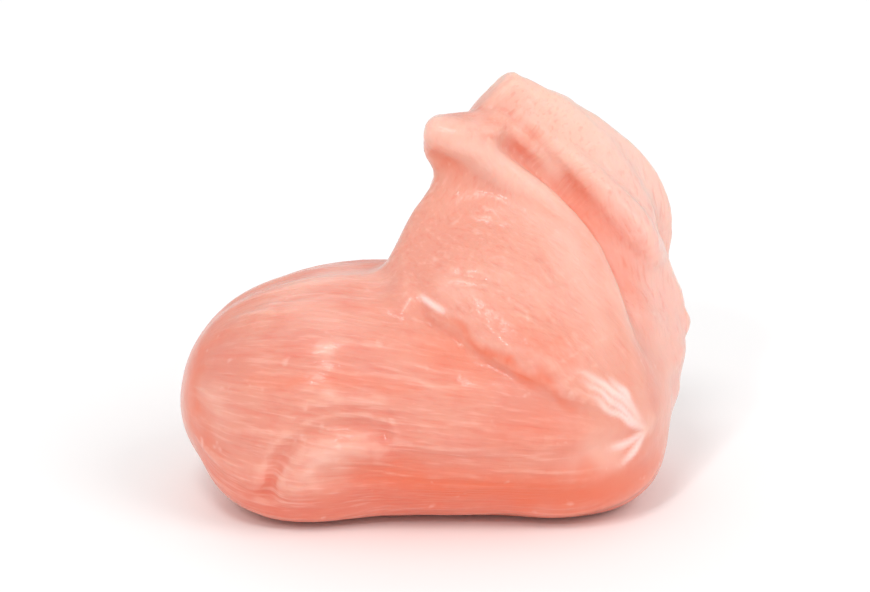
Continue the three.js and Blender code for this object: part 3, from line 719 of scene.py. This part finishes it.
# The same on the back.
BACK_CREASES = [
    ([(15, 10, 22), (8, 12, 17), (0, 13, 13), (-8, 12, 10.5)], 0.55, 0.22),
    ([(19, 9, 14), (11, 12, 9.5), (3, 13, 6)], 0.5, 0.16),
    ([(-4, 11, 17), (-11, 11, 16), (-18, 8, 14.5)], 0.5, 0.14),
    ([(-2, 11, 13.5), (-10, 11.5, 12), (-17, 9, 11)], 0.45, 0.13),
    ([(6, 10, 27), (9, 10, 23), (11, 11, 19)], 0.45, 0.14),
    ([(16, 10, 18), (10, 12, 14), (3, 13, 11)], 0.4, 0.12),
    ([(-6, 11, 20), (-12, 9, 19.6), (-18, 7, 17.6)], 0.45, 0.1),
]
# Painted shade, deeper orange low on the back.
BACK_WARM_SHADE = [
    ([(15, 10, 11), (6, 13, 6.6), (-4, 12, 4.6), (-12, 9, 5)], 2.2, 0.7),
    ([(-7, 10, 18), (0, 10, 18.5), (5, 10, 21)], 1.8, 0.5),
]
BACK_PALE = [
    ([(10, 11, 31), (14, 11, 26), (18, 10, 20)], 2, 0.4),
    ([(-6, 11, 15), (-12, 10, 15), (-18, 8, 14)], 1.6, 0.35),
    ([(14, 12, 13.4), (7, 13.5, 10), (0, 13.5, 8.2)], 0.45, 0.5),
    ([(15, 11, 24), (12, 12, 20), (8, 13, 17.4)], 0.4, 0.45),
    ([(-7, 12, 13), (-12, 11, 12.4), (-17, 9, 12)], 0.4, 0.45),
    ([(-3, 9, 21.4), (-9, 6, 22.6), (-14, 4, 22)], 0.5, 0.35),
]
# The drawn lines are laid on the flesh from these sides, starting so far out.
FROM_FRONT, FROM_BACK = unit(np.array([0.0, -0.94, 0.342])), unit(np.array([0.0, 0.94, 0.342]))
MARCH_FROM, MARCH_STEPS, SETTLE_STEPS, SETTLE_SLOPE = 7.0, 14, 3, 0.1
LINE_STEPS = 3  # steps a span of a drawn line
LINE_ENDS, LINE_TAPER = 0.02, 0.7


def laid_on(p, way):
    """Points brought onto the flesh, against the way given and then the nearest way."""
    p = p + MARCH_FROM * way
    for _ in range(MARCH_STEPS):
        p = p - np.clip(flesh(p), -1, 1)[:, None] * way
    for _ in range(SETTLE_STEPS):
        slope = slope_of(flesh, p)
        p = p - (flesh(p) / np.maximum((slope**2).sum(1), SETTLE_SLOPE))[:, None] * slope
    return p


def all_laid_on(groups, way):
    """The drawn lines of every group, each as a smooth curve on the flesh."""
    rough = [smooth_line(form[0], LINE_STEPS) for group in groups for form in group]
    ends = np.cumsum([len(line) for line in rough])
    laid = iter(np.split(laid_on(np.concatenate(rough), way), ends[:-1]))
    return [[(next(laid), *form[1:]) for form in group] for group in groups]


def line_relief(p, form):
    """How near to the line each point is, from 0 to 1, with the line's ends run out."""
    line, width, _ = form
    best, where = np.full(len(p), FAR), np.zeros(len(p))
    for i in range(len(line) - 1):
        step = line[i + 1] - line[i]
        t = np.clip((p - line[i]) @ step / (step @ step), 0, 1)
        gap = np.linalg.norm(p - line[i] - t[:, None] * step, axis=1)
        m = gap < best
        best[m], where[m] = gap[m], ((i + t) / (len(line) - 1))[m]
    where = np.clip(where, LINE_ENDS, 1 - LINE_ENDS)
    return np.exp(-((best / width) ** 2)) * np.sin(math.pi * where) ** LINE_TAPER


def strayed(by, length, starts):
    """The corners moved about by noise, so that what is drawn at them frays."""
    return corners + by * np.stack([noise(corners / length + s) for s in starts], 1)


def strongest(lines_laid, p):
    """The strongest of the patches at each point."""
    return np.maximum.reduce([form[2] * line_relief(p, form) for form in lines_laid])


front = all_laid_on((CREASES, SINEWS, WARM_SHADE, PALE_AND_HIGHLIGHT), FROM_FRONT)
behind = all_laid_on((BACK_CREASES, [], BACK_WARM_SHADE, BACK_PALE), FROM_BACK)
crease_lines, sinew_lines, warm_shade_lines, pale_and_highlight_lines = (a + b for a, b in zip(front, behind))

# The relief: how far each corner is lifted off the flesh.
FIBRE_LIFT, BUNDLE_LIFT, LUMP_LIFT = 0.1, 0.07, 0.1
PIT_LIFT, PIT_LIFT_FLAP, PIT_LIFT_BACK = 0.015, 0.04, 0.06
LIFT_FROM = 1.2  # above the flat, up to where the relief grows to its full height
pit_lift = PIT_LIFT + PIT_LIFT_FLAP * on_flap + PIT_LIFT_BACK * on_back
lift = FIBRE_LIFT * fibre + BUNDLE_LIFT * bundle + LUMP_LIFT * lumps + pit_lift * pits
near_line, frayed = strayed(0.25, 1.7, (40, 50, 60)), strayed(0.9, 2.1, (70, 80, 90))
sinew = np.zeros(len(corners))
for form in crease_lines:
    lift -= form[2] * line_relief(near_line, form)
for form in sinew_lines:
    here = line_relief(near_line, form)
    lift += form[2] * here
    sinew = np.maximum(sinew, here)
# Painted shade in the warm patches; pale fat and sinew, with painted highlights, in the pale ones.
warm_shade, light = strongest(warm_shade_lines, frayed), strongest(pale_and_highlight_lines, frayed)
still = smooth_step(corners[:, 2], BASE_LEVEL, BASE_LEVEL + LIFT_FROM)
placed = corners + (lift * still)[:, None] * normals
placed[:, 2] = np.maximum(placed[:, 2], BASE_LEVEL)

# What the material needs to know of each corner. Painted shade in the creases of the fine relief and
# painted light on its crests; painted shade in hollows that flesh near by and the floor close in. The
# rim of the flap is pale, and so are the sinews.
# Painted shade: hollows and the relief's grooves are tinted deeper, and more so towards the bottom.
HOLLOW_SHADE_REACHES = (1.2, 2.4)
GROOVE_SHADE_SHARE, LIFT_DEPTH = 0.12, 0.2
LOW_SHADE_SHARE, LOW_FROM, LOW_TO = 0.75, 11.5, 4
RIM_PALE, RIM_FROM, RIM_TO, SINEW_PALE = 0.7, 2.2, 1.1, 0.9
# Painted shade in the concave creases of the fine relief, and painted light on its convex crests.
crease_shade_crest_light = ((neighbour_mean(placed, quads, len(corners)) - placed) * normals).sum(1) / CELL
crease_shade_crest_light = 0.5 * (crease_shade_crest_light + neighbour_mean(crease_shade_crest_light, quads, len(corners))[:, 0])
hollow_shade = np.zeros(len(corners))
for reach in HOLLOW_SHADE_REACHES:
    hollow_shade += (1 - flesh(corners + reach * normals) / reach) / len(HOLLOW_SHADE_REACHES)
hollow_shade += GROOVE_SHADE_SHARE * np.clip(-lift / LIFT_DEPTH, -1, 1)
hollow_shade = np.clip(hollow_shade + LOW_SHADE_SHARE * smooth_step(corners[:, 2], LOW_FROM, LOW_TO), 0, 1)
rim_line = strand(forms["p"], (RIM[0], [0] * len(RIM[0]), RIM[2]))
rim_pale = RIM_PALE * smooth_step(rim_line + 0.2 * noise(corners / 4 + 5), RIM_FROM, RIM_TO)
# The pale patches hold pale fat and sinew, and also painted highlights.
pale_and_highlight = np.clip(np.maximum(rim_pale, light) + SINEW_PALE * sinew, 0, 1)

# The box of the smooth form is brought over the CAD's box, with the flat underside on the floor.
MM = 1000  # in a metre
cad_low, cad_high = np.array(CAD_LOW) * MM, np.array(CAD_HIGH) * MM
shift = (cad_low + cad_high) / 2 - (own_low + own_high) / 2
shift[2] = cad_low[2] - BASE_LEVEL

mesh = bpy.data.meshes.new("chicken_flesh")
mesh.from_pydata(((placed + shift) / MM).tolist(), [], quads.tolist())
mesh.polygons.foreach_set("use_smooth", [True] * len(quads))
single = {
    "pale_and_highlight": pale_and_highlight, "warm_shade": warm_shade, "sinew": sinew, "crease_shade_crest_light": crease_shade_crest_light, "hollow_shade": hollow_shade, "fibre": fibre,
    "to_right": to_right, "open_end": open_end,
    "on_lobe": tone[:, 0], "on_flap": tone[:, 1], "on_back": tone[:, 2],
    "on_side": to_right * (tone[:, 2] + tone[:, 3] + tone[:, 4]),
}
for name, values in single.items():
    mesh.attributes.new(name, "FLOAT", "POINT").data.foreach_set("value", values.astype(np.float32))
# Where the finest threads are looked up: drawn out along the fibres, and round the spindle
# without a seam.
THREAD_RING, angle = 12, 2 * math.pi * turn
places = {
    "lobe_place": np.stack([along / 9, THREAD_RING * np.cos(angle), THREAD_RING * np.sin(angle)], 1),
    "flap_place": np.stack([flap_along / 7, flap_side + wander, deep], 1),
    "side_place": grain_place(corners, SIDE_GRAIN, 7, 1),
    "back_place": grain_place(corners, BACK_GRAIN, 8, 1),
}
for name, values in places.items():
    values = (values / MM).astype(np.float32).ravel()
    mesh.attributes.new(name, "FLOAT_VECTOR", "POINT").data.foreach_set("vector", values)
mesh.update()
piece = bpy.data.objects.new("chicken_flesh", mesh)
bpy.context.scene.collection.objects.link(piece)
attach(piece, "root")
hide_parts("chicken_piece")


# ---------------------------------------------------------------- material
def srgb(r, g, b):
    """A colour given as it looks, from 0 to 255, as the light values that the shader takes."""
    return tuple(((c / 255 + 0.055) / 1.055) ** 2.4 for c in (r, g, b)) + (1.0,)


class Nodes:
    """Short ways to add and join the nodes of one material."""

    def __init__(self, tree):
        self.tree = tree

    def add(self, kind, **settings):
        node = self.tree.nodes.new(kind)
        for name, value in settings.items():
            setattr(node, name, value)
        return node

    def put(self, socket, value):
        if isinstance(value, bpy.types.NodeSocket):
            self.tree.links.new(value, socket)
        else:
            socket.default_value = value

    def attribute(self, name, output="Fac"):
        node = self.add("ShaderNodeAttribute", attribute_type="GEOMETRY", attribute_name=name)
        return node.outputs[output]

    def noise(self, place, scale, detail=2.0, roughness=0.5):
        node = self.add("ShaderNodeTexNoise", noise_dimensions="3D")
        self.put(node.inputs["Vector"], place)
        node.inputs["Scale"].default_value = scale
        node.inputs["Detail"].default_value = detail
        node.inputs["Roughness"].default_value = roughness
        return node.outputs["Fac"]

    def ramp(self, value, start, end, low=0.0, high=1.0):
        node = self.add("ShaderNodeMapRange", interpolation_type="SMOOTHSTEP", clamp=True)
        for socket, v in zip(node.inputs[:5], (value, start, end, low, high)):
            self.put(socket, v)
        return node.outputs["Result"]

    def math(self, operation, a, b):
        node = self.add("ShaderNodeMath", operation=operation)
        self.put(node.inputs[0], a)
        self.put(node.inputs[1], b)
        return node.outputs[0]

    def part(self, value, share):
        return self.math("MULTIPLY", value, share)

    def bump(self, height, strength, distance):
        node = self.add("ShaderNodeBump")
        node.inputs["Strength"].default_value = strength
        node.inputs["Distance"].default_value = distance
        self.put(node.inputs["Height"], height)
        return node.outputs[0]

    def blend(self, share, a, b):
        node = self.add("ShaderNodeMix", data_type="FLOAT")
        for index, v in ((0, share), (2, a), (3, b)):
            self.put(node.inputs[index], v)
        return node.outputs[0]

    def mix(self, share, a, b):
        node = self.add("ShaderNodeMix", data_type="RGBA", blend_type="MIX")
        for index, v in ((0, share), (6, a), (7, b)):
            self.put(node.inputs[index], v)
        return node.outputs[2]


# Colours as they look, from 0 to 255.
PINK, PALER_PINK, BLOTCH = (228, 144, 126), (232, 156, 136), (224, 124, 108)
FLAP_TONE, BACK_TONE, SIDE_TONE = (240, 180, 158), (248, 212, 193), (242, 194, 184)
# Painted shade: the tones of the hollows, the creases and the warm patches.
HOLLOW_SHADE_TONE, CREASE_SHADE_TONE, WARM_SHADE_TONE = (234, 112, 82), (230, 108, 84), (236, 118, 84)
# Thread tones: the fibres' own streaks, partly painted light on raised threads and painted shade
# between them.
THREAD_AND_LIGHT_TONE, BETWEEN_AND_SHADE_TONE = (250, 190, 174), (226, 110, 92)
# The fat tone also paints highlights, and the ridge tone paints light on the relief's crests.
FAT_AND_HIGHLIGHT_TONE, CREST_LIGHT_TONE, SINEW_TONE = (250, 208, 192), (252, 206, 188), (252, 224, 220)
FLECK_TONE = (254, 226, 214)
# Scales of the noises, per metre.
BROAD, BLOTCHES, GLOSS, FLECKS, WET, GRIT = 110, 300, 420, 520, 800, 900
LOBE_THREADS, OTHER_THREADS = 2600, 2300
SURFACE = {
    "IOR": 1.4, "Specular IOR Level": 0.25,
    "Subsurface Weight": 0.4, "Subsurface Radius": (1.0, 0.32, 0.2), "Subsurface Scale": 0.0016,
    "Coat Weight": 0.6, "Coat Roughness": 0.15, "Coat IOR": 1.33,
}


def thread_noise(n, lobe, flap):
    """The finest threads, each region's in its own grain."""
    def along(place, scale):
        return n.noise(n.attribute(place, "Vector"), scale)

    on_lobe = n.blend(n.attribute("open_end"), 0.5, along("lobe_place", LOBE_THREADS))
    on_flap = n.ramp(along("flap_place", OTHER_THREADS), 0, 1, 0.2, 0.8)
    on_rest = n.blend(n.attribute("to_right"), along("back_place", OTHER_THREADS),
                      along("side_place", OTHER_THREADS))
    rest = n.math("SUBTRACT", n.math("SUBTRACT", 1.0, lobe), flap)
    shared = n.math("ADD", n.math("MULTIPLY", on_lobe, lobe), n.math("MULTIPLY", on_flap, flap))
    return n.math("ADD", shared, n.math("MULTIPLY", on_rest, rest))


def flesh_material():
    material = bpy.data.materials.new("raw_flesh")
    material.use_nodes = True
    tree = material.node_tree
    tree.nodes.clear()
    n = Nodes(tree)
    place = n.add("ShaderNodeTexCoord").outputs["Object"]
    flap, crease_shade_crest_lights = n.attribute("on_flap"), n.attribute("crease_shade_crest_light")
    threads = thread_noise(n, n.attribute("on_lobe"), flap)
    # The fibres' own streaks, partly painted light where the relief and the bumped threads rise.
    thread_streaks_and_light = n.math("ADD", n.ramp(n.attribute("fibre"), 0.1, 0.6, 0, 0.1),
                     n.ramp(threads, 0.52, 0.72, 0, 0.34))

    # Tints laid one over the other: how much of each, and its colour.
    tints = [
        (n.ramp(n.noise(place, BLOTCHES, 4, 0.6), 0.45, 0.75, 0, 0.35), BLOTCH),
        (n.part(flap, 0.4), FLAP_TONE),
        (n.part(n.attribute("on_back"), 0.85), BACK_TONE),
        (n.part(n.attribute("on_side"), 0.7), SIDE_TONE),
        # Painted shade in hollows, in grooves and towards the bottom.
        (n.ramp(n.attribute("hollow_shade"), 0.3, 0.9, 0, 0.5), HOLLOW_SHADE_TONE),
        # Painted shade in concave creases.
        (n.ramp(crease_shade_crest_lights, 0.01, 0.09, 0, 0.22), CREASE_SHADE_TONE),
        (thread_streaks_and_light, THREAD_AND_LIGHT_TONE),
        # Darker between the threads: their own colour, partly painted shade in the bump's furrows.
        (n.ramp(threads, 0.48, 0.3, 0, 0.26), BETWEEN_AND_SHADE_TONE),
        # Painted shade in the warm patches.
        (n.part(n.attribute("warm_shade"), 0.9), WARM_SHADE_TONE),
        # Pale fat and sinew, and painted highlights.
        (n.part(n.attribute("pale_and_highlight"), 0.75), FAT_AND_HIGHLIGHT_TONE),
        # Painted light on the relief's convex crests.
        (n.ramp(crease_shade_crest_lights, -0.005, -0.06, 0, 0.22), CREST_LIGHT_TONE),
        (n.part(n.attribute("sinew"), 0.65), SINEW_TONE),
        (n.part(n.ramp(n.noise(place, FLECKS), 0.66, 0.78), 0.25), FLECK_TONE),
    ]
    colour = n.mix(n.ramp(n.noise(place, BROAD, 3), 0.35, 0.65), srgb(*PINK), srgb(*PALER_PINK))
    for share, tint in tints:
        colour = n.mix(share, colour, srgb(*tint))

    shader = n.add("ShaderNodeBsdfPrincipled")
    for name, value in SURFACE.items():
        shader.inputs[name].default_value = value
    n.put(shader.inputs["Base Color"], colour)
    n.put(shader.inputs["Roughness"], n.ramp(n.noise(place, GLOSS), 0.3, 0.7, 0.34, 0.5))
    fine = n.math("ADD", n.part(n.noise(place, GRIT, 3), 0.5), n.part(threads, 1.2))
    n.put(shader.inputs["Normal"], n.bump(fine, 0.6, 0.00018))
    n.put(shader.inputs["Coat Normal"], n.bump(n.noise(place, WET, 3), 0.5, 0.00016))
    out = n.add("ShaderNodeOutputMaterial")
    tree.links.new(shader.outputs[0], out.inputs["Surface"])
    return material


mesh.materials.append(flesh_material())

# ---------------------------------------------------------------- floor, light and camera
FLOOR_SIZE, FLOOR_COLOUR, FLOOR_ROUGHNESS = 4.0, (0.97, 0.97, 0.97, 1), 0.7
ROOM_COLOUR, ROOM_LIGHT = (1, 1, 1, 1), 0.7
bpy.ops.mesh.primitive_plane_add(size=FLOOR_SIZE)
floor = bpy.context.object
floor.name = "floor"
paint = bpy.data.materials.new("floor_paint")
paint.use_nodes = True
paint.node_tree.nodes["Principled BSDF"].inputs["Base Color"].default_value = FLOOR_COLOUR
paint.node_tree.nodes["Principled BSDF"].inputs["Roughness"].default_value = FLOOR_ROUGHNESS
floor.data.materials.append(paint)

scene = bpy.context.scene
scene.view_settings.view_transform = "Standard"
world = bpy.data.worlds.new("room")
scene.world = world
world.use_nodes = True
world.node_tree.nodes["Background"].inputs["Color"].default_value = ROOM_COLOUR
world.node_tree.nodes["Background"].inputs["Strength"].default_value = ROOM_LIGHT
# Lights and camera look at the middle of the piece.
AIM = Vector((-0.0001, -0.0007, 0.0194))

# Soft round lights: place, size, power.
LIGHTS = {
    "key": ((-0.3, -1.02, 1.65), 0.48, 7.6),
    "glint": ((-0.48, -1.26, 1.08), 0.14, 3.2),
    "side": ((0.9, -0.6, 1.05), 0.9, 4.8),
    "back": ((-0.4, 1.2, 1.1), 1.0, 1.8),
}
for name, (place, size, power) in LIGHTS.items():
    light = bpy.data.lights.new(name, "AREA")
    light.shape, light.size, light.energy = "DISK", size, power
    holder = bpy.data.objects.new(name, light)
    scene.collection.objects.link(holder)
    holder.location = place
    holder.rotation_euler = (AIM - Vector(place)).to_track_quat("-Z", "Y").to_euler()

# The camera looks down on the piece as the photo does.
ELEVATION, DISTANCE, SENSOR, VIEW_WIDTH = 20.0, 0.6, 36.0, 0.08295
lens = bpy.data.cameras.new("camera")
lens.sensor_width, lens.lens = SENSOR, SENSOR * DISTANCE / VIEW_WIDTH
camera = bpy.data.objects.new("camera", lens)
scene.collection.objects.link(camera)
tilt = math.radians(ELEVATION)
camera.location = AIM + DISTANCE * Vector((0, -math.cos(tilt), math.sin(tilt)))
camera.rotation_euler = (math.pi / 2 - tilt, 0, 0)
scene.camera = camera
